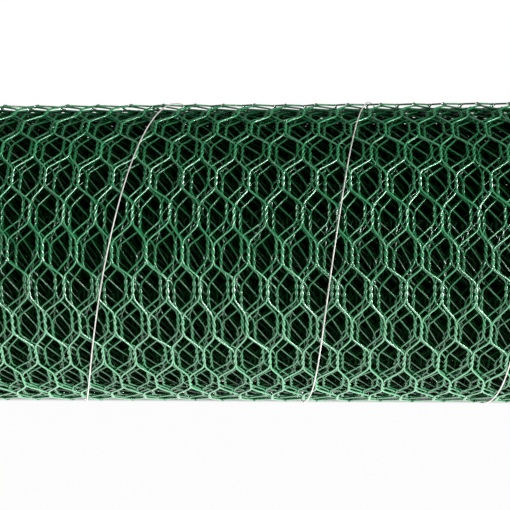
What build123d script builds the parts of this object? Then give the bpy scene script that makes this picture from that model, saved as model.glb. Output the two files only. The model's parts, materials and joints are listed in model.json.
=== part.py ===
from build123d import *
import math
import os

# Roll of plastic-coated hexagonal wire netting, bound with one spiral of galvanised wire.
# Millimetres, +Z up. The roll lies along X, centred on the origin, with its lowest point at z = 0.

# Netting roll
netting_width = 500.0  # width of the netting, which is the length of the roll
roll_diameter = 240.0  # over the outermost turn
bore_diameter = 80.0  # open core left by the winding mandrel
turn_count = 50  # turns of netting between the bore and the outside
turns_per_band = 5  # neighbouring turns that lie close and show as one band on the ends
band_gap = 2.0  # open width between two bands at the roll's ends
band_gap_depth = 5.0  # how far the gaps between the bands run in from the ends

# Binding wire
wire_diameter = 1.0
wire_sides = 6  # sides of the wire's section, few because the wire is long and thin
wire_clearance = 0.05  # between the netting and the wire that is wound on it
wrap_start_angle = -270.0  # degrees round the roll: 0 is the front, 90 the top
wrap_step_angle = 20.0  # degrees from one corner of the wire's route to the next
quarter_turn_angle = 90.0  # degrees between the places listed below
# Place of the wire along the roll at each quarter turn, as shares of the netting's width.
wrap_shares = [
    -0.456, -0.368, -0.277, -0.204,
    -0.120, -0.020, 0.073, 0.123,
    0.186, 0.276, 0.359, 0.403,
    0.468,
]
bend_share = 0.49  # share of the shorter run that each bend of the wire takes up

roll_radius = roll_diameter / 2
bore_radius = bore_diameter / 2
half_width = netting_width / 2
band_count = turn_count // turns_per_band
band_pitch = (roll_radius - bore_radius) / band_count
wire_radius = wire_diameter / 2
wire_path_radius = roll_radius + wire_clearance + wire_radius
axis_height = wire_path_radius + wire_radius
roll_axis = Axis((0, 0, axis_height), (1, 0, 0))


def end_outline(end_x, inward):
    """Section of one end of the roll, from the bore outwards: each band's flat edge and the gap after it.

    inward is the direction along X that leads into the roll, 1 or -1.
    """
    points = [(end_x, bore_radius)]
    for gap in range(1, band_count):
        gap_radius = bore_radius + gap * band_pitch
        points.append((end_x, gap_radius - band_gap / 2))
        points.append((end_x + inward * band_gap_depth, gap_radius))
        points.append((end_x, gap_radius + band_gap / 2))
    points.append((end_x, roll_radius))
    return [(x, axis_height + radius) for x, radius in points]


def wrap_place(angle):
    """Place of the wire along X at a wrap angle: a smooth curve through the listed quarter turns."""
    last = len(wrap_shares) - 1
    turned = (angle - wrap_start_angle) / quarter_turn_angle
    index = min(int(turned), last - 1)
    t = turned - index
    before, here, there, after = (wrap_shares[min(max(index + k, 0), last)] for k in (-1, 0, 1, 2))
    slope_here = (there - before) / 2
    slope_there = (after - here) / 2
    share = (
        here * (1 + 2 * t) * (1 - t) ** 2
        + slope_here * t * (1 - t) ** 2
        + there * t**2 * (3 - 2 * t)
        - slope_there * t**2 * (1 - t)
    )
    return share * netting_width


def wrap_point(angle, radius):
    """Point of the wire's route at a wrap angle and a distance from the roll's axis."""
    turned = math.radians(angle)
    return Vector(wrap_place(angle), -radius * math.cos(turned), axis_height + radius * math.sin(turned))


def wrap_route():
    """Corners of the wire's route: a polygon drawn round the roll, whose bends then follow the roll."""
    wrap_angle = quarter_turn_angle * (len(wrap_shares) - 1)
    steps = round(wrap_angle / wrap_step_angle)
    step_angle = wrap_angle / steps
    corner_radius = wire_path_radius / math.cos(math.radians(step_angle / 2))
    corner_angles = [wrap_start_angle + (step + 1 / 2) * step_angle for step in range(steps)]
    start = wrap_point(wrap_start_angle, wire_path_radius)
    end = wrap_point(wrap_start_angle + wrap_angle, wire_path_radius)
    return [start, *(wrap_point(angle, corner_radius) for angle in corner_angles), end]


def bend_radii(route):
    """Radius of the bend at each inner corner, as large as its two runs allow."""
    runs = [after - before for before, after in zip(route, route[1:])]
    room = [run.length for run in runs]
    # The first and last runs are half runs, and each has only one bend on it.
    room[0] *= 2
    room[-1] *= 2
    radii = []
    for index in range(len(runs) - 1):
        half_turn = math.radians(runs[index].get_angle(runs[index + 1])) / 2
        radii.append(bend_share * min(room[index], room[index + 1]) / math.tan(half_turn))
    return radii


os.makedirs("parts", exist_ok=True)

# The netting as wound: one ring turned about X, with the turns showing on both ends
with BuildPart() as netting_roll:
    with BuildSketch(Plane.XZ):
        with BuildLine():
            right_end = end_outline(half_width, -1)
            left_end = end_outline(-half_width, 1)
            Polyline(*right_end, *reversed(left_end), close=True)
        make_face()
    revolve(axis=roll_axis)
netting_roll.part.label = "netting_roll"
export_step(netting_roll.part, "parts/netting_roll.step")

# The binding wire: one length wound round the roll from end to end
corners = wrap_route()
radii = bend_radii(corners)
print("binding wire bends", round(min(radii), 1), "to", round(max(radii), 1), "mm")
with BuildPart() as binding_wire:
    with BuildLine() as wire_path:
        FilletPolyline(*corners, radius=radii)
    route_wire = wire_path.wire()
    with BuildSketch(Plane(origin=route_wire @ 0, z_dir=route_wire % 0)):
        RegularPolygon(wire_radius, wire_sides)
    sweep(path=route_wire)
binding_wire.part.label = "binding_wire"
export_step(binding_wire.part, "parts/binding_wire.step")

wire_section = wire_sides / 2 * wire_radius**2 * math.sin(2 * math.pi / wire_sides)
print("binding wire length", round(route_wire.length), "mm")
print("volume over section times length", binding_wire.part.volume / wire_section / route_wire.length)
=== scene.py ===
# %% [markdown]
# # A roll of chicken wire
# The real object is 25 metres of hexagonal netting, woven from green plastic-coated wire, wound up by a
# machine and bound with one galvanised wire. The frame that we load holds it as plain solids: a turned
# ring for the netting and a six-sided wire. Here every wire of the netting is drawn as a tube, and the
# whole roll is worked out as arrays, so no wire is placed by hand.

# %% Load the frame and read the roll's sizes from it
import json
import math

import bpy
import numpy as np
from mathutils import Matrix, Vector


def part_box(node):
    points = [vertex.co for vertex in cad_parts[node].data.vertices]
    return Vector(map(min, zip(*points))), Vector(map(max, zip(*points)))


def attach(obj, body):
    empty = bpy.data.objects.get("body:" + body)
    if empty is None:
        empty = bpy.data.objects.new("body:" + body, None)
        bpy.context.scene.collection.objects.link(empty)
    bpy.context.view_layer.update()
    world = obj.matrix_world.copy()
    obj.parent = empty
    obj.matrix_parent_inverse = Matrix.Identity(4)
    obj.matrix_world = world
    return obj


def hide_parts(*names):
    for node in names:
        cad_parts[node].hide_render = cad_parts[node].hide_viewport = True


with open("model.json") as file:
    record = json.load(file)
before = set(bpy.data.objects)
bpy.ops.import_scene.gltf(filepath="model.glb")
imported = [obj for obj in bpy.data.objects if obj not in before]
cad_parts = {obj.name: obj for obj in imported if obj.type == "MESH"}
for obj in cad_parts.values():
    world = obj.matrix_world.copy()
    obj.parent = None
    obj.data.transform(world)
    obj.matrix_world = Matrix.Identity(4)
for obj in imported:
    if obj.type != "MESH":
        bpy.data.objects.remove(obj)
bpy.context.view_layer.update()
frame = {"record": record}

mm = 0.001
roll_low, roll_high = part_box("netting_roll")
half_width = (roll_high.x - roll_low.x) / 2
roll_radius = (roll_high.y - roll_low.y) / 2
axis_height = (roll_high.z + roll_low.z) / 2
core = next(mount for mount in frame["record"]["mounts"] if mount["name"] == "core_bore")
bore_radius = core["dims"]["r_mm"] * mm
print("roll", round(2 * half_width, 4), "m long, radius", round(roll_radius, 4), "bore", bore_radius)

# %% [markdown]
# ## The camera
# The photograph looks at the roll from the front, near the height of its axis and a little from the right,
# so the right end comes out larger. The netting's mesh is 25 mm wide and 34.8 pixels at the front, which
# gives the scale there. The top and bottom edges lie further back and look smaller, and how tall the roll
# comes out at that scale gives the distance. From scale and distance follows the lens.

# %% Camera
image_width = 510  # pixels, the photograph's width and height
mesh_width = 25 * mm
mesh_pixels = 34.8  # one mesh at the front of the roll
view_distance = 0.96  # metres from the lens to the front of the roll
view_azimuth = math.radians(2.7)  # towards the right end
aim_right = 4.9 * mm  # from the roll's middle to what the middle of the image shows
aim_below = 2.2 * mm  # from the height of the axis down to it
sensor_width = 36.0  # millimetres, as lenses are named

aim_point = Vector((aim_right, -roll_radius, axis_height - aim_below))
camera_data = bpy.data.cameras.new("camera")
camera_data.sensor_width = sensor_width
camera_data.lens = sensor_width * mesh_pixels / mesh_width * view_distance / image_width
camera = bpy.data.objects.new("camera", camera_data)
to_camera = Vector((math.sin(view_azimuth), -math.cos(view_azimuth), 0))
camera.location = aim_point + view_distance * to_camera
camera.rotation_euler = (-to_camera).to_track_quat("-Z", "Y").to_euler()
bpy.context.scene.collection.objects.link(camera)
bpy.context.scene.camera = camera
print("lens", round(camera_data.lens, 1), "mm, camera at", [round(c, 3) for c in camera.location])

# %% [markdown]
# ## Meshes from arrays
# A mesh can be built face by face, but this roll has about half a million faces and that would take
# minutes. Blender also takes whole arrays: all points, then the corners of all faces one after another,
# then the place where each face starts. One function does this for every piece. It also stores named values
# on the points, which a material can read later.

# %% Mesh maker
map_name = "OFBake"


def put_mesh(name, points, face_sets, maps, values):
    """An object from arrays: points, sets of faces with equal corner counts, map places and point values."""
    mesh = bpy.data.meshes.new(name)
    mesh.vertices.add(len(points))
    mesh.vertices.foreach_set("co", points.astype(np.float32).ravel())
    corners = np.concatenate([faces.ravel() for faces in face_sets])
    sizes = np.concatenate([np.full(len(faces), faces.shape[1]) for faces in face_sets])
    mesh.loops.add(len(corners))
    mesh.loops.foreach_set("vertex_index", corners.astype(np.int32))
    mesh.polygons.add(len(sizes))
    mesh.polygons.foreach_set("loop_start", (np.cumsum(sizes) - sizes).astype(np.int32))
    mesh.update(calc_edges=True)
    if maps is not None:
        layer = mesh.uv_layers.new(name=map_name)
        layer.uv.foreach_set("vector", maps.astype(np.float32).ravel())
    for value_name, value in values.items():
        attribute = mesh.attributes.new(value_name, "FLOAT", "POINT")
        attribute.data.foreach_set("value", value.astype(np.float32).ravel())
    mesh.shade_smooth()
    piece = bpy.data.objects.new(name, mesh)
    bpy.context.scene.collection.objects.link(piece)
    return piece


# %% [markdown]
# ## A map of every wire
# Colours can be stored for a piece only if each bit of its surface has a place of its own on a flat map. The
# skin of a wire, slit along its length and opened out, is a long strip. So every wire gets a strip across
# the map, and the two small faces that close its ends lie beside the ends of its strip.

# %% Map of the tubes
map_margin = 0.02  # share of the map kept at each side for the faces that close the wires' ends
strip_gap = 0.05  # share of a wire's strip left empty on each side
closing_share = 1 / 3  # radius of a closing face on the map, as a share of the room it has


def tube_map(wires, samples, sides):
    """Map places of the tubes' faces: along the strip by sample, across it by side, one strip a wire.

    The two faces that close a wire are small regular polygons beside the ends of its strip.
    """
    counts = (np.arange(wires), np.arange(samples - 1), np.arange(sides))
    wire, sample, side = np.meshgrid(*counts, indexing="ij")

    def place(sample_number, side_number):
        along = map_margin + (1 - 2 * map_margin) * sample_number / (samples - 1)
        across = (wire + strip_gap + (1 - 2 * strip_gap) * side_number / sides) / wires
        return np.stack([along, across], -1)

    corners = [
        place(sample, side),
        place(sample + 1, side),
        place(sample + 1, side + 1),
        place(sample, side + 1),
    ]
    quads = np.stack(corners, -2).reshape(-1, 2)
    angle = 2 * math.pi * np.arange(sides) / sides
    small = min(map_margin, 1 / wires) * closing_share
    polygon = small * np.stack([np.cos(angle), np.sin(angle)], -1)
    middle = (np.arange(wires) + 1 / 2) / wires
    ends = []
    for end in (map_margin / 2, 1 - map_margin / 2):
        centre = np.stack([np.full(wires, end), middle], -1)
        ends.append((centre[:, None] + polygon).reshape(-1, 2))
    return np.concatenate([quads, *ends])


# %% [markdown]
# ## Tubes along paths
# A wire is a circle carried along a path. A curve object with a bevel could do that, but a thousand curves
# are slow and their faces can't be counted beforehand. So we make the rings of all wires at once with
# numpy and hand Blender one finished mesh.

# %% Tube maker


def tubes(name, paths, outward, radius, sides, values):
    """Round tubes along many paths at once.

    paths is an array (wire, sample, xyz). The tangent at a sample is the difference of its neighbours,
    across is tangent x outward, up is across x tangent, and the ring there is
    path + radius * (cos a * across + sin a * up), with a going round the circle. A ring of few sides would
    look thinner than the wire, so it is widened to the girth of the circle: by pi / sides / sin(pi / sides).
    Neighbouring rings are joined by four-sided faces, and each end of a wire is closed by one face.
    """
    wires, samples = paths.shape[:2]
    tangent = np.gradient(paths, axis=1)
    across = np.cross(tangent, outward)
    across /= np.linalg.norm(across, axis=-1, keepdims=True)
    up = np.cross(across, tangent)
    up /= np.linalg.norm(up, axis=-1, keepdims=True)
    angle = 2 * math.pi * np.arange(sides) / sides
    ring = np.cos(angle)[:, None] * across[:, :, None] + np.sin(angle)[:, None] * up[:, :, None]
    same_girth = math.pi / sides / math.sin(math.pi / sides)
    points = paths[:, :, None] + radius * same_girth * ring
    index = np.arange(wires * samples * sides).reshape(wires, samples, sides)
    here, after = index[:, :-1], index[:, 1:]
    quads = np.stack([here, after, np.roll(after, -1, 2), np.roll(here, -1, 2)], -1).reshape(-1, 4)
    caps = np.concatenate([index[:, 0], index[:, -1, ::-1]])
    point_values = {key: np.repeat(value, sides, axis=-1) for key, value in values.items()}
    maps = tube_map(wires, samples, sides)
    return put_mesh(name, points.reshape(-1, 3), [quads, caps], maps, point_values)


# %% [markdown]
# ## How the netting is woven
# Chicken wire is made of wires that all run the length of the netting. In each row every wire is twisted
# with a neighbour through three half turns, then leaves it and meets its other neighbour in the next row.
# So every wire walks sideways by half a mesh a row until it reaches the edge, where it goes round the
# edge wire and walks back. We number the lanes between the twists: a wire's lane is a number that goes
# up by one each row and is folded back at the edges.

# %% Lanes of the weave
wire_radius = 0.7 * mm  # over the plastic coat
columns = round(2 * half_width / mesh_width)
lanes = 2 * columns
lane_width = mesh_width / 2


def lane_at(wire, row):
    """Lane of each wire on entering a row: 2 * wire + row, folded back at both edges of the netting."""
    step = (2 * wire + row) % (2 * lanes)
    return np.where(step < lanes, step, 2 * lanes - 1 - step)


print(columns, "meshes across,", lanes, "wires and 2 edge wires")

# %% [markdown]
# ## How the turns lie on each other
# The machine pulls the netting tight as it winds, and when the roll is cut off its outer turn springs
# open a little. So the gap under the outer turn is the largest, the next ones are tight, and the gaps grow
# slowly again towards the core. Each turn keeps its radius from the outer end over the top, the front and
# the bottom, and drops to the next one at the back.

# %% Turns
turn_count = 50
end_angle = 150.0  # degrees round the roll of the outer end: 0 is the front, 90 the top
drop_start = 0.72  # share of a turn after which it drops to the next
loose_gap = 2.4 * mm  # from the outer turn to the next
tight_gap = 1.25 * mm  # between the turns below
slack_turns = 0.6  # how many turns inwards the winding stays loose
outer_radius = roll_radius - 2 * wire_radius
inner_radius = bore_radius + 2 * wire_radius

turn_numbers = np.arange(turn_count)
turn_gaps = tight_gap + (loose_gap - tight_gap) * np.exp(-turn_numbers / slack_turns)
# The gaps grow steadily inwards, so that the turns fill the whole ring.
gap_growth = (outer_radius - inner_radius - turn_gaps.sum()) / turn_numbers.sum()
turn_gaps = turn_gaps + gap_growth * turn_numbers
turn_drops = np.concatenate([[0], np.cumsum(turn_gaps)])


def drop_share(part):
    """Share of its drop that a turn has made, at a part of a turn: 0 up to drop_start, then even to 1."""
    return np.clip((part - drop_start) / (1 - drop_start), 0, 1)


def turn_radius(turn):
    """Radius of the netting's middle: level for most of each turn, then a smooth drop to the next turn."""
    whole = np.clip(np.floor(turn).astype(int), 0, turn_count - 1)
    part = drop_share(turn - whole)
    return outer_radius - turn_drops[whole] - turn_gaps[whole] * part * part * (3 - 2 * part)


print("turns", turn_count, "gaps", (turn_gaps[:4] / mm).round(2), "to", round(turn_gaps[-1] / mm, 2), "mm")

# %% [markdown]
# ## Where the rows of twists lie
# A row's place is a number of rows from the cut outer end, and winding up turns that number into an angle
# and a radius. Netting stretches easily, so its rows aren't quite evenly spaced: on the front of the outer
# turn they are where the photograph has them. There the meshes of the outer turns nearly lie on top of
# each other, so the first five turns have nearly the same, even number of rows.

# %% Rows
row_pitch = 27.7 * mm  # from one row of twists to the next
rows_per_outer_turn = 26
# Angles of the rows of twists on the front of the outer turn, from the top down, in degrees.
front_row_angles = np.array([52.2, 39.0, 26.7, 13.4, -0.9, -12.9, -27.9, -41.6, -58.2, -73.0])
middle_row = 4  # which of them faces the camera
# How many rows more or less lie from a turn to the next, for the turns that show.
seen_row_shifts = np.array([0.16, -0.28, -0.19, -0.37])
row_chance = 0.5  # rows more or less at most, for the turns below
chance = np.random.default_rng(25)

front_turns = (end_angle - front_row_angles) / 360
rows_above = 2 * math.floor(front_turns[0] * rows_per_outer_turn / 2)
front_rows = rows_above + 1 + np.arange(len(front_row_angles))
facing_turns = front_turns[middle_row] + np.arange(turn_count)
turn_lengths = 2 * math.pi * (outer_radius - (turn_drops[:-2] + turn_drops[1:-1]) / 2)
rows_between = turn_lengths / row_pitch + chance.uniform(-row_chance, row_chance, turn_count - 1)
rows_between[: len(seen_row_shifts)] = rows_per_outer_turn + seen_row_shifts
facing_rows = front_rows[middle_row] + np.concatenate([[0], np.cumsum(rows_between)])
outer_end_row = front_rows[0] - front_turns[0] * rows_per_outer_turn
core_end_row = facing_rows[-1] + (turn_count - facing_turns[-1]) * 2 * math.pi * inner_radius / row_pitch
known_turns = np.concatenate([[0], front_turns, facing_turns[1:], [turn_count]])
known_rows = np.concatenate([[outer_end_row], front_rows, facing_rows[1:], [core_end_row]])
row_count = int(known_rows[-1])


def turn_at(row_place):
    """Turns wound from the outer end to a place counted in rows, by straight lines between known places."""
    return np.interp(row_place, known_rows, known_turns)


print("rows", row_count, "netting", round(float(turn_lengths.sum()), 2), "m")

# %% [markdown]
# ## What makes it look wound and not printed
# A perfect spiral of perfect hexagons looks printed. Real turns slide sideways against each other, stand
# off in places and slant a little, and every twist sits somewhat off its place. These are small sums of
# waves and seeded random numbers. The slides of the first five turns are the ones that the photograph
# shows: the wires of the second and third run beside those of the first, one on each side.

# %% Unevenness
slide_reach = 4 * mm  # how far a hidden turn may slide sideways
seen_slides = np.array([0, -4.6, 4.8, -7.4, -9.2]) * mm  # the slides of the turns that show
slide_span = 0.25  # turns before and after the front over which a turn keeps its slide
twist_jitter = np.array([0.6 * mm, 0.022, 0.2 * mm])  # across, in rows along, and inwards
edge_jitter_share = 1 / 4  # the edge wires hold the edge twists nearer to their places
row_lean = 1.9 * mm  # how far every second row of twists sits to the right of the middle of its meshes
row_skew = 0.018  # how far the rows slant along the netting, as a share of the way across it
# The twisting heads of the loom weren't evenly set: places across, and how far the columns are off there.
drift_places = np.array([-112, -75, -48, -30, 0, 200]) * mm
drifts = np.array([0.2, 1.9, 2.2, -0.2, -0.4, -0.2]) * mm

slide = chance.uniform(-slide_reach, slide_reach, turn_count)
slide[: len(seen_slides)] = seen_slides
slide_turns = np.stack([facing_turns - slide_span, facing_turns + slide_span], -1).ravel()
slide_places = np.repeat(slide, 2)
place_jitter = chance.normal(0, 1, (row_count + 2, lanes + 1, 3)) * twist_jitter
place_jitter[:, [0, -1], 0] *= edge_jitter_share
place_jitter[..., 2] = -np.abs(place_jitter[..., 2])
place_jitter[::2, 1:-1, 0] += row_lean
inner_twists = np.arange(1, lanes) * lane_width - half_width
place_jitter[:, 1:-1, 0] += np.interp(inner_twists, drift_places, drifts)
print("twists", place_jitter.shape[0] * place_jitter.shape[1], "slides", (slide[:8] / mm).round(1), "mm")

# %% [markdown]
# ## Winding up
# Now the flat netting can be rolled up. Each of its points has a place in rows, a place across and a small
# height above or below the netting's middle. The first gives the angle and the radius, the second the place
# along the roll. The tight inside of the roll is heavy and rests a little low in its loose outer turn.

# %% Winding
stand_off_height = 0.5 * mm
stand_off_length = 310 * mm  # one wave along the roll
round_waves = 2.37  # waves to a turn
round_start = 1.3  # radians into a wave at the outer end
along_drift = 0.71  # share of a wave by which the waves along the roll move on in a turn
bundle_sag = 1.15 * mm  # how far the inside rests below the middle of the outer turn


def stand_off(turn, across):
    """How far the netting sags from its even spiral: waves round the roll and along it, all inwards.

    Each wave is a sine. Their sum is moved to lie between 0 and 1, and it dies away from turn to turn.
    """
    round_roll = np.sin(2 * math.pi * round_waves * turn + round_start)
    along_roll = np.sin(2 * math.pi * (across / stand_off_length + along_drift * turn))
    return -stand_off_height * (2 + round_roll + along_roll) / 4 * np.exp(-turn / slack_turns)


def sag(turn, angle):
    """How much nearer to the axis the sagging inside lies: most at the top, and the other way below."""
    return bundle_sag * drop_share(turn) * np.sin(angle)


def outward_at(angle):
    """Direction from the axis at an angle: 0 is the front, -y, and a quarter turn is the top, z."""
    return np.stack([np.zeros_like(angle), -np.cos(angle), np.sin(angle)], -1)


def wind_up(row_place, across, height):
    """Place in the roll of a point of the flat netting, and the outward direction there.

    The row place gives the turn, the turn gives the angle and the radius, and the height adds to the radius.
    """
    turn = turn_at(row_place)
    angle = np.radians(end_angle - 360 * turn)
    radius = turn_radius(turn) + stand_off(turn, across) + height - sag(turn, angle)
    outward = outward_at(angle)
    place = radius[..., None] * outward
    place[..., 0] = across + np.interp(turn, slide_turns, slide_places)
    place[..., 2] += axis_height
    return place, outward, turn


# %% [markdown]
# ## Every wire as a path
# In its row a wire comes in on one side of the twist, goes round the twist's middle line three half turns
# and leaves on the other side. Across the netting that is a cosine and outwards a sine. Before and after
# the twist it spreads to half a lane, with a small rounded bend. The edge wires follow the same formula
# with two half turns where a mesh wire goes round them and none in between.

# %% Samples in a row
twist_length = 14.9 * mm
twist_share = twist_length / row_pitch / 2  # half the twist, in rows
twist_half_turns = 3
edge_half_turns = 2
bend_softness = 0.3  # share of the run beside the twist over which the bend is rounded
twist_radius = 1.02 * wire_radius  # from the middle of a twist to the middle of its wires


def spread(part):
    """Share of the way out to the lane, over the run from the twist: a straight line with a rounded start."""
    return (np.hypot(part, bend_softness) - bend_softness) / (math.hypot(1, bend_softness) - bend_softness)


def row_samples(twist_steps, bend_places):
    """Places in a row, in rows from its middle: evenly spaced in the twist and as listed beside the twist."""
    run = twist_share + (1 / 2 - twist_share) * np.array(bend_places)
    twist = np.linspace(-twist_share, twist_share, twist_steps + 1)
    return np.concatenate([-run[::-1], twist, run])


print("twist", twist_length / mm, "mm long,", round(2 * twist_share, 3), "of a row")

# %% [markdown]
# ## Weaving all wires at once
# The arrays have three axes: the wire, the row of twists and the sample in that row. First we find which
# twist each wire takes part in and on which side it enters, also for the rows before and after, because
# between two twists a wire's small shifts pass from one to the other. Then the formulas above give all
# places in a few lines.

# %% Paths of the wires


def weave_plan(near):
    """Which twist each wire takes part in, on which side it enters, and through how many half turns it goes.

    near lists the rows. The two edge wires come last: they stand on the other side of the edge twists from
    the wire that goes round them, and run straight in every second row.
    """
    lane = lane_at(np.arange(lanes)[:, None], near)
    before, after = lane[:, :-1], lane[:, 1:]
    at_edge = before == after
    twist = np.where(at_edge, np.where(before == 0, 0, lanes), np.maximum(before, after))
    side = np.where(at_edge, np.where(before == 0, 1, -1), np.sign(before + 1 / 2 - twist))
    half_turns = np.where(at_edge, edge_half_turns, twist_half_turns)
    edge_twist = np.array([[0], [lanes]]) + np.zeros_like(near[:-1])
    edge_side = np.where(edge_twist == 0, -1, 1)
    edge_turns = np.where(near[:-1] % 2 == 1, edge_half_turns, 0) + np.zeros_like(edge_twist)
    twist = np.concatenate([twist, edge_twist])
    side = np.concatenate([side, edge_side])
    half_turns = np.concatenate([half_turns, edge_turns])
    return twist, side, half_turns


def lay_wires(first_row, end_row, samples):
    """Flat paths of all wires over some rows: place in rows, place across, height; arrays (wire, sample).

    In the twist a wire has turned by pi * half turns * its share of the twist. Across is
    side * cos(turned) * distance, which grows from the twist's radius to half a lane; height is
    side * hand * sin(turned) * radius, and the hand of the twists changes from row to row.
    """
    rows = np.arange(first_row, end_row)
    samples = np.concatenate([[-1 / 2], samples, [1 / 2]])
    near = np.arange(first_row - 1, end_row + 2)
    twist, side, half_turns = weave_plan(near)
    jitter = place_jitter[np.clip(near[:-1], 0, row_count + 1), twist]
    here = jitter[:, 1:-1, None]
    beside = np.where(samples[:, None] < 0, jitter[:, :-2, None], jitter[:, 2:, None])
    twist, side, half_turns = (value[:, 1:-1, None] for value in (twist, side, half_turns))
    turned = math.pi * half_turns * np.clip((samples + twist_share) / (2 * twist_share), 0, 1)
    part = np.clip((np.abs(samples) - twist_share) / (1 / 2 - twist_share), 0, 1)
    moved = here + (beside - here) * part[:, None] / 2
    hand = np.where(rows % 2 == 0, 1, -1)[None, :, None]
    reach = np.full((lanes + 2, 1, 1), lane_width / 2)
    reach[lanes:] = twist_radius
    across = side * np.cos(turned) * (twist_radius + (reach - twist_radius) * spread(part))
    across = across + twist * lane_width - half_width + moved[..., 0]
    height = side * hand * np.sin(turned) * twist_radius + moved[..., 2]
    row_place = rows[None, :, None] + samples + moved[..., 1] + row_skew * across / row_pitch

    def joined(values):
        """Rows one after another. The place half way to the next row is kept at the two ends alone."""
        flat = values[:, :, 1:-1].reshape(len(values), -1)
        return np.concatenate([values[:, 0, :1], flat, values[:, -1, -1:]], 1)

    return joined(row_place), joined(across), joined(height)


# %% [markdown]
# ## The turns as pieces
# All wires of the netting together would be more than six million triangles if each were as fine as the
# outermost. The inner turns show only through the meshes, so they get fewer sides and fewer samples. The
# netting is cut into pieces at whole rows, from the outer turn inwards.

# %% Netting pieces
fine = row_samples(12, [0.15, 0.5])
medium = row_samples(9, [0.3])
plain = row_samples(6, [])
coarse = row_samples(4, [])
bare = row_samples(1, [])
# Each piece's name, the turn that it reaches to, its samples in a row and the sides of its wires.
turn_groups = [
    ("outer_turn", 1, fine, 5),
    ("second_turn", 2, medium, 4),
    ("third_turn", 3, medium, 4),
    ("loose_turns", 5, plain, 3),
    ("upper_turns", 9, coarse, 3),
    ("packed_turns_outer", 22, bare, 3),
    ("packed_turns_inner", 46, bare, 3),
    ("core_turns", turn_count, coarse, 3),
]
netting = []
first_row = 1  # the cut end
for name, last_turn, samples, sides in turn_groups:
    end_row = row_count
    if last_turn < turn_count:
        end_row = int(np.interp(last_turn, known_turns, known_rows))
    row_place, across, height = lay_wires(first_row, end_row, samples)
    paths, outward, turn = wind_up(row_place, across, height)
    piece = tubes("netting_" + name, paths, outward, wire_radius, sides, {"turn": turn})
    netting.append(piece)
    triangles = 2 * sides * (paths.shape[1] - 1) * paths.shape[0]
    print(piece.name, "rows", first_row, "to", end_row, "triangles about", triangles)
    first_row = end_row

# %% [markdown]
# ## The binding wire
# One thin galvanised wire is wound round the roll from end to end, three turns, and keeps it from springing
# open. Its places along the roll at each quarter turn are those of the solid model. Between them it takes a
# smooth curve, as a stiff wire does.

# %% Binding wire's places
binding_radius = 0.5 * mm
binding_sides = 10
wrap_start_angle = -270.0  # degrees
quarter_turn_angle = 90.0  # degrees
wrap_step_angle = 2.0  # degrees
wrap_shares = np.array([
    -0.456, -0.368, -0.277, -0.204,
    -0.120, -0.020, 0.073, 0.123,
    0.186, 0.276, 0.359, 0.403,
    0.468,
])
wrap_end_angle = wrap_start_angle + quarter_turn_angle * (len(wrap_shares) - 1)


def wrap_place(angle):
    """Place along the roll: a cubic through the listed places, with slopes from their neighbours."""
    last = len(wrap_shares) - 1
    turned = (angle - wrap_start_angle) / quarter_turn_angle
    index = np.minimum(turned.astype(int), last - 1)
    t = turned - index
    before, here, there, after = (wrap_shares[np.clip(index + k, 0, last)] for k in (-1, 0, 1, 2))
    place = here * (1 + 2 * t) * (1 - t) ** 2 + (there - before) / 2 * t * (1 - t) ** 2
    place = place + there * t**2 * (3 - 2 * t) - (after - here) / 2 * t**2 * (1 - t)
    return place * 2 * half_width


print("binding wire goes round", (wrap_end_angle - wrap_start_angle) / 360, "times")

# %% [markdown]
# ## How a tight wire lies
# A tight wire lies on what stands out and bridges every hollow by a straight stretch. Here that matters at
# the back, where the netting steps down behind its cut end. For each side of the roll we work out how far
# the netting reaches that way. A flat board laid on that side would stop there, and the wire at any angle
# lies under the nearest of these boards.

# %% Profile of the tight wire
widest_facing = 1 / 2  # boards turned further away than this cosine aren't asked
profile_angles = np.arange(0, 360, wrap_step_angle)
profile_turns = (end_angle - profile_angles) / 360 % 1
profile = turn_radius(profile_turns) - sag(profile_turns, np.radians(profile_angles))
facing = np.cos(np.radians(profile_angles[:, None] - profile_angles))
reached = (profile * facing).max(1)
tight_profile = np.where(facing > widest_facing, reached / facing, roll_radius).min(1)
lowest = tight_profile.argmin()
print("nearest to the axis", round(tight_profile[lowest] / mm, 1), "mm at", profile_angles[lowest], "degrees")

# %% [markdown]
# ## The wire on the netting
# The wire presses a little into the knots, and whoever bound the roll pushed both of its ends in between
# the turns. So at each end the path dives inwards, ever faster, over a few degrees.

# %% Binding wire
tuck_angle = 6.0  # degrees beyond the wrap over which each end of the wire is tucked in
tuck_depth = 6 * mm
binding_bite = 0.7 * mm  # how far the tight wire presses into the netting's knots

first_angle = wrap_start_angle - tuck_angle
last_angle = wrap_end_angle + tuck_angle
wrap_angles = np.arange(first_angle, last_angle + wrap_step_angle / 2, wrap_step_angle)
past_wrap = np.maximum(wrap_start_angle - wrap_angles, wrap_angles - wrap_end_angle)
tucked = np.clip(past_wrap / tuck_angle, 0, 1)
seat = np.interp(wrap_angles, profile_angles, tight_profile, period=360) + 2 * wire_radius
binding_distance = seat + binding_radius - binding_bite - tuck_depth * tucked**2
binding_outward = outward_at(np.radians(wrap_angles))
binding_path = binding_distance[:, None] * binding_outward
binding_path[:, 0] = wrap_place(wrap_angles)
binding_path[:, 2] += axis_height
binding = tubes(
    "binding_wire_round", binding_path[None], binding_outward[None], binding_radius, binding_sides, {}
)
binding_run = np.linalg.norm(np.diff(binding_path, axis=0), axis=1).sum()
print("binding wire", round(float(binding_run), 3), "m")

# %% [markdown]
# ## Shader maths as expressions
# A material's nodes are easier to read as a sum than as a list of links. The class below wraps a socket:
# adding, multiplying or subtracting wrapped sockets and numbers adds a Math node and gives back its result.
# Every other node comes from one method.

# %% Sockets as values


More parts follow.
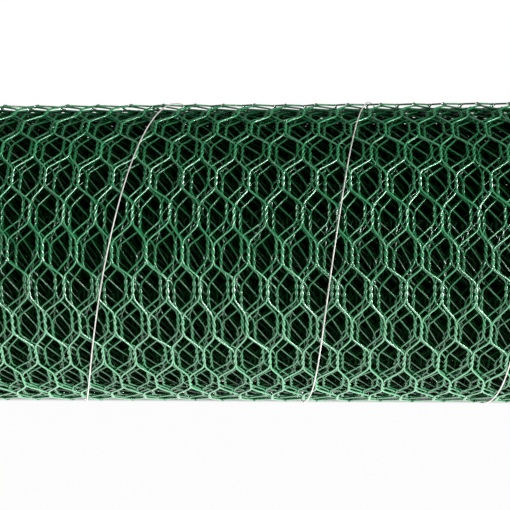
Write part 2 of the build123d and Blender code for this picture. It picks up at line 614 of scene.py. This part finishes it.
class Socket:
    """A socket of a node tree that can be calculated with."""

    def __init__(self, tree, socket=None):
        self.tree = tree
        self.socket = socket

    def node(self, kind, settings, inputs, output=0):
        """Add a node: its settings first, then the value or link of each input. Gives one of its outputs."""
        made = self.tree.nodes.new(kind)
        for key, value in settings.items():
            setattr(made, key, value)
        for key, value in inputs.items():
            if isinstance(value, Socket):
                self.tree.links.new(value.socket, made.inputs[key])
            else:
                made.inputs[key].default_value = value
        return Socket(self.tree, made.outputs[output])

    def math(self, operation, first, second):
        """A Math node on two values."""
        return self.node("ShaderNodeMath", {"operation": operation}, {0: first, 1: second})

    def __add__(self, other):
        return self.math("ADD", self, other)

    def __radd__(self, other):
        return self.math("ADD", other, self)

    def __sub__(self, other):
        return self.math("SUBTRACT", self, other)

    def __rsub__(self, other):
        return self.math("SUBTRACT", other, self)

    def __mul__(self, other):
        return self.math("MULTIPLY", self, other)

    def __rmul__(self, other):
        return self.math("MULTIPLY", other, self)

    def __truediv__(self, other):
        return self.math("DIVIDE", self, other)

    def absolute(self):
        """The value without its sign."""
        return self.math("ABSOLUTE", self, 0)

    def clamped(self):
        """The value kept between 0 and 1."""
        return self.node("ShaderNodeClamp", {}, {"Value": self})

    def ramp(self, low, high):
        """0 below low, 1 above high and a smooth rise between them."""
        settings = {"interpolation_type": "SMOOTHSTEP"}
        return self.node("ShaderNodeMapRange", settings, {"Value": self, "From Min": low, "From Max": high})

    def mix(self, first, second):
        """A colour between two others, with this value as the share of the second."""
        settings = {"data_type": "RGBA"}
        return self.node("ShaderNodeMix", settings, {"Factor": self, 6: first, 7: second}, 2)

    def place(self):
        """The piece's own coordinates, in metres. In a world it is the direction that is looked in."""
        return self.node("ShaderNodeTexCoord", {}, {}, 3)

    def part(self, axis):
        """One of the three numbers of a place: 0 is x, 1 is y, 2 is z."""
        return self.node("ShaderNodeSeparateXYZ", {}, {0: self}, axis)

    def noise(self, scale, detail):
        """Cloudy noise from 0 to 1 on the piece's own coordinates, scale times a metre."""
        inputs = {"Vector": self.place(), "Scale": scale, "Detail": detail}
        return self.node("ShaderNodeTexNoise", {}, inputs)


# %% [markdown]
# ## Materials
# Each material starts from Blender's Principled shader. What varies over the surface is linked to one of its
# sockets, and what is the same all over is set on the socket itself.

# %% Material helpers


def new_material(name):
    """A node material with its shader, and a Socket to start expressions from."""
    material = bpy.data.materials.new(name)
    material.use_nodes = True
    shader = material.node_tree.nodes["Principled BSDF"]
    return material, shader, Socket(material.node_tree)


def feed(shader, inputs):
    """Set a shader's sockets: a Socket is linked, anything else is the value all over."""
    for key, value in inputs.items():
        if isinstance(value, Socket):
            value.tree.links.new(value.socket, shader.inputs[key])
        else:
            shader.inputs[key].default_value = value


# %% [markdown]
# ## Green plastic coat
# The galvanised wire is drawn through soft green plastic, which leaves a glossy skin of slightly uneven
# thickness, so its tone wanders and its shine is broken up. Dust settles on it in patches. In the photograph
# the netting gets darker from turn to turn, because less and less light comes in, and after five turns it is
# nearly black. Rendered light alone doesn't fall off so fast in wires this thin, so the colour helps: it
# deepens with the turn number that each point carries. At the ends of the roll and in its bore light does
# come in, so there the coat keeps its full colour.

# %% Green coat
cloud_scale = 28  # noise patches to a metre
fine_scale = 420
dust_scale = 90
patch_range = (0.3, 0.7)  # noise values from the darkest to the lightest tone
cloud_share = 0.7  # of the tone; the fine noise gives the rest
dark_green = (0.0095, 0.13, 0.044, 1)
light_green = (0.023, 0.216, 0.081, 1)
dust_range = (0.52, 0.7)
dust_most = 0.12
dusty_green = (0.13, 0.25, 0.16, 1)
# Painted shade: from here on the coat's colour darkens from turn to turn towards near black, except near the
# ends and in the bore.
shade_start = 0.9  # turns from the outer end at which the shade begins
shade_step_end = 1.2  # and at which its first step is done
shade_step = 0.2
shade_turns = 4.8  # turns over which the rest comes
painted_shade_green = (0.001, 0.018, 0.003, 1)
end_zone = 7 * mm  # from the ends of the roll inwards, where the shade begins to fade
end_clear = 1 * mm  # where it is gone
core_zone_turns = (4, 1)  # turns from the core, the same for the bore
skin_height = 0.05 * mm
skin_strength = 0.12
smoothest = 0.17
fine_roughness = 0.1
dust_roughness = 0.4
coat_ior = 1.65


def green_coat(name, gloss):
    """The green plastic coat, with painted shade: its colour gets darker from turn to turn, except at the
    ends and the bore.
    """
    material, shader, start = new_material(name)
    cloudy = start.noise(cloud_scale, 3)
    fine_noise = start.noise(fine_scale, 2)
    tone = cloudy.ramp(*patch_range) * cloud_share + fine_noise.ramp(*patch_range) * (1 - cloud_share)
    colour = tone.mix(dark_green, light_green)
    dust = start.noise(dust_scale, 4).ramp(*dust_range) * dust_most
    colour = dust.mix(colour, dusty_green)
    turn = start.node("ShaderNodeAttribute", {"attribute_name": "turn"}, {}, "Fac")
    # Painted shade: the share of near-black green mixed into the coat, by turn number.
    steady = ((turn - shade_start) / shade_turns).clamped()
    hidden = shade_step * turn.ramp(shade_start, shade_step_end) + (1 - shade_step) * steady
    at_end = start.place().part(0).absolute().ramp(half_width - end_zone, half_width - end_clear)
    at_core = turn.ramp(turn_count - core_zone_turns[0], turn_count - core_zone_turns[1])
    colour = (hidden * (1 - at_end) * (1 - at_core)).mix(colour, painted_shade_green)
    skin = {"Strength": skin_strength, "Distance": skin_height, "Height": fine_noise}
    feed(shader, {
        "Base Color": colour,
        "Roughness": smoothest + fine_roughness * fine_noise + dust_roughness * dust,
        "Normal": start.node("ShaderNodeBump", {}, skin),
        "Specular IOR Level": gloss,
        "IOR": coat_ior,
    })
    return material


# %% [markdown]
# ## Less gloss inside, as painted shade
# The bright lines are reflections on the outer turn. The turns below get duller copies of the same coat,
# and from the sixth turn on hardly any shine. This is painted shade: the plastic is the same all through,
# and the duller coat stands in for the dark inside of the roll that they reflect.

# %% Coats of the pieces
outer_coat = green_coat("green_coat_outer_turns", 1.0)
shaded_middle_coat = green_coat("green_coat_middle_turns_painted_shade", 0.6)
shaded_inner_coat = green_coat("green_coat_inner_turns_painted_shade", 0.02)
coats = [outer_coat] + 3 * [shaded_middle_coat] + 4 * [shaded_inner_coat]
for piece, coat in zip(netting, coats):
    piece.data.materials.append(coat)
    print(piece.name, "has", coat.name)

# %% [markdown]
# ## Galvanised wire
# The binding wire was pulled through molten zinc, which sets as a pale grey skin with faint crystals. New
# zinc would mirror like metal, but on a thin wire it soon gets a dull film. So it is mostly a plain pale
# grey, with a little metal in it, and the crystals change tone and roughness slightly.

# %% Zinc
spangle_scale = 300  # crystals to a metre
spangle_range = (0.35, 0.65)
dark_zinc = (0.37, 0.355, 0.335, 1)
light_zinc = (0.49, 0.47, 0.44, 1)
zinc_metal = 0.2
zinc_smoothest = 0.4
spangle_roughness = 0.2

zinc_material, zinc_shader, start = new_material("galvanised_zinc")
spangle = start.noise(spangle_scale, 2)
feed(zinc_shader, {
    "Base Color": spangle.ramp(*spangle_range).mix(dark_zinc, light_zinc),
    "Metallic": zinc_metal,
    "Roughness": zinc_smoothest + spangle_roughness * spangle,
})
binding.data.materials.append(zinc_material)
print(binding.name, "has", zinc_material.name)

# %% [markdown]
# ## White floor
# The background is white down to the edge of the roll. A floor bright enough for that would
# flood the roll with light. So the floor glows white only for what the camera sees, and for other light it
# is an ordinary pale floor. A little of the lit floor stays mixed in near the roll. Behind the line where
# the roll rests much more of it does: a painted shadow, partly real, as this zone stays darker than white
# even where light falls, and the real shadow shows in it too. In reflections the floor is white only from
# some way off, because white right beside the roll would make its dark wires grey.

# %% Floor
floor_half = 6.0  # metres from the middle to each side
floor_colour = (0.9, 0.9, 0.9, 1)
floor_roughness = 0.8
near_white = 0.96  # share of plain white beside the roll
white_range = (0.5, 2.2)  # metres from the roll over which it rises to 1
mirror_range = (0.8, 2.5)  # metres over which the floor gets white in reflections
shadow_depth = 0.86  # share of plain white taken away under the roll
shadow_front = (-0.004, 0.025)  # metres backwards from the line of rest over which that begins
shadow_back = (0.06, 0.34)  # and ends
shadow_side = (0.19, 0.26)  # metres to both sides over which it ends

floor_points = np.array([[-1, -1, 0], [1, -1, 0], [1, 1, 0], [-1, 1, 0]]) * floor_half
floor = put_mesh("floor", floor_points, [np.array([[0, 1, 2, 3]])], None, {})
floor_material, floor_shader, start = new_material("pale_floor")
feed(floor_shader, {"Base Color": floor_colour, "Roughness": floor_roughness})


def seen_directly(start, mirrored):
    """1 for what the camera sees straight or through glass, a given value in reflections, 0 otherwise."""
    straight = start.node("ShaderNodeLightPath", {}, {}, "Is Camera Ray")
    through = start.node("ShaderNodeLightPath", {}, {}, "Is Transmission Ray")
    mirror = mirrored * start.node("ShaderNodeLightPath", {}, {}, "Is Glossy Ray")
    return start.math("MAXIMUM", start.math("MAXIMUM", straight, through), mirror)


floor_place = start.place()
distance = start.node("ShaderNodeVectorMath", {"operation": "LENGTH"}, {0: floor_place}, "Value")
backwards = floor_place.part(1)
# Painted shadow, partly real: a zone behind the line of rest where most of the white glow is taken away.
painted_shadow_zone = backwards.ramp(*shadow_front) * (1 - backwards.ramp(*shadow_back))
painted_shadow_zone = painted_shadow_zone * (1 - floor_place.part(0).absolute().ramp(*shadow_side))
floor_white = near_white + (1 - near_white) * distance.ramp(*white_range) - shadow_depth * painted_shadow_zone
white_share = floor_white * seen_directly(start, distance.ramp(*mirror_range))
glow = start.node("ShaderNodeEmission", {}, {"Color": (1, 1, 1, 1), "Strength": 1.0})
lit_floor = Socket(floor_material.node_tree, floor_shader.outputs[0])
mixed = start.node("ShaderNodeMixShader", {}, {0: white_share, 1: lit_floor, 2: glow})
floor_output = floor_material.node_tree.nodes["Material Output"]
floor_material.node_tree.links.new(mixed.socket, floor_output.inputs["Surface"])
floor.data.materials.append(floor_material)
print("floor", 2 * floor_half, "m wide")

# %% [markdown]
# ## The room
# The camera sees a white world. For the light in the room it is nearly dark, so that the lamps alone shape
# the wires. In reflections only the low part behind the roll is white, as a studio's backdrop is.

# %% World
room_light = 0.06
backdrop_range = (0.2, 0.7)  # how far backwards a direction points, where the backdrop begins
backdrop_top = (0.15, 0.6)  # how far upwards, where it ends

world = bpy.data.worlds.new("studio")
bpy.context.scene.world = world
world.use_nodes = True
background = world.node_tree.nodes["Background"]
start = Socket(world.node_tree)
direction = start.place()
backdrop = direction.part(1).ramp(*backdrop_range) * (1 - direction.part(2).ramp(*backdrop_top))
strength = room_light + (1 - room_light) * seen_directly(start, backdrop)
world.node_tree.links.new(strength.socket, background.inputs["Strength"])
background.inputs["Color"].default_value = (1, 1, 1, 1)
bpy.context.scene.view_settings.view_transform = "Standard"
print("room light", room_light)

# %% [markdown]
# ## Lamps
# A thin glossy wire shows a bright line where it mirrors a lamp, and which way it runs decides which lamp.
# In the photograph the wires that rise to one side are bright and the others plain, so the main lamp is a
# long low strip at the right in front. The lowest rows are pale from below, as over a white table, so a weak
# strip lies flat on the floor, under the front of the roll and a little before it. The other lamps keep
# the back, the ends and the top from being black when the roll is seen from there.

# %% Lights
roll_middle = (0, 0, axis_height)
strip_place = (0, -0.102, 0.0004)  # a hair above the floor
strip_target = (0, -0.101, 1)  # as good as straight up
# Each lamp's name, place, what it faces, width and height in metres, and power in watts.
lamps = [
    ("side_light", (1.9, -1.77, 0.3), roll_middle, 3.4, 0.2, 150),
    ("right_light", (2.9, -0.2, 0.3), roll_middle, 1.0, 0.3, 28),
    ("fill_light", (-2.2, -1.2, 0.4), roll_middle, 1.6, 0.3, 10),
    ("low_front_light", strip_place, strip_target, 1.8, 0.18, 2.25),
    ("back_light", (-1.6, 2.0, 0.12), roll_middle, 2.0, 0.3, 110),
    ("top_light", (0, 0, 1.6), roll_middle, 1.4, 0.5, 2.6),
]


def area_light(name, place, target, width, height, power):
    """A soft rectangular light at a place, turned to face a target and unseen by the camera."""
    data = bpy.data.lights.new(name, "AREA")
    data.shape = "RECTANGLE"
    data.size = width
    data.size_y = height
    data.energy = power
    lamp = bpy.data.objects.new(name, data)
    lamp.location = place
    lamp.rotation_euler = (Vector(target) - Vector(place)).to_track_quat("-Z", "Y").to_euler()
    lamp.visible_camera = False
    bpy.context.scene.collection.objects.link(lamp)


for lamp_values in lamps:
    area_light(*lamp_values)
    print(lamp_values[0], lamp_values[-1], "W")

# %% [markdown]
# ## Handing the pieces to the frame
# The roll doesn't move in itself, so every piece rides on the one body. The netting's pieces together take
# the place of the turned ring, and the round wire that of the six-sided one.

# %% Hand the pieces to the frame
for piece in netting:
    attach(piece, "root")
    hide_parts("netting_roll")
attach(binding, "root")
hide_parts("binding_wire")
print(len(netting) + 1, "pieces ride on the root")
